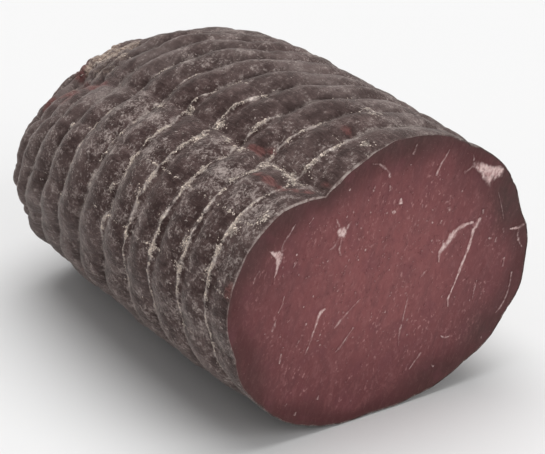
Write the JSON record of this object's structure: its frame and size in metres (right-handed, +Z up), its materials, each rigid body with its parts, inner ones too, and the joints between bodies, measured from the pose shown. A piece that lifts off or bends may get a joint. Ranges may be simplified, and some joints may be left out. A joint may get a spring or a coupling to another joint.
{
  "type": "half bresaola",
  "caption": "Half of a dry-cured beef roll lying on its side, rounded at the far end and cut flat at the near end, its rind marked by a curing net.",
  "frame": {"origin": "middle of the bounding box on the surface the roll lies on", "axes": "+Z up; the roll lies along Y, with its cut face looking along -Y and its rounded end at +Y"},
  "size_m": [0.134, 0.186, 0.11],
  "materials": {
    "cured_rind": "matt dark brown rind with a patchy pale bloom of mould",
    "cured_lean": "smooth dark red cured lean with pale threads of fat, slightly moist"
  },
  "bodies": {
    "root": {"bresaola": "cured_rind"}
  },
  "joints": []
}
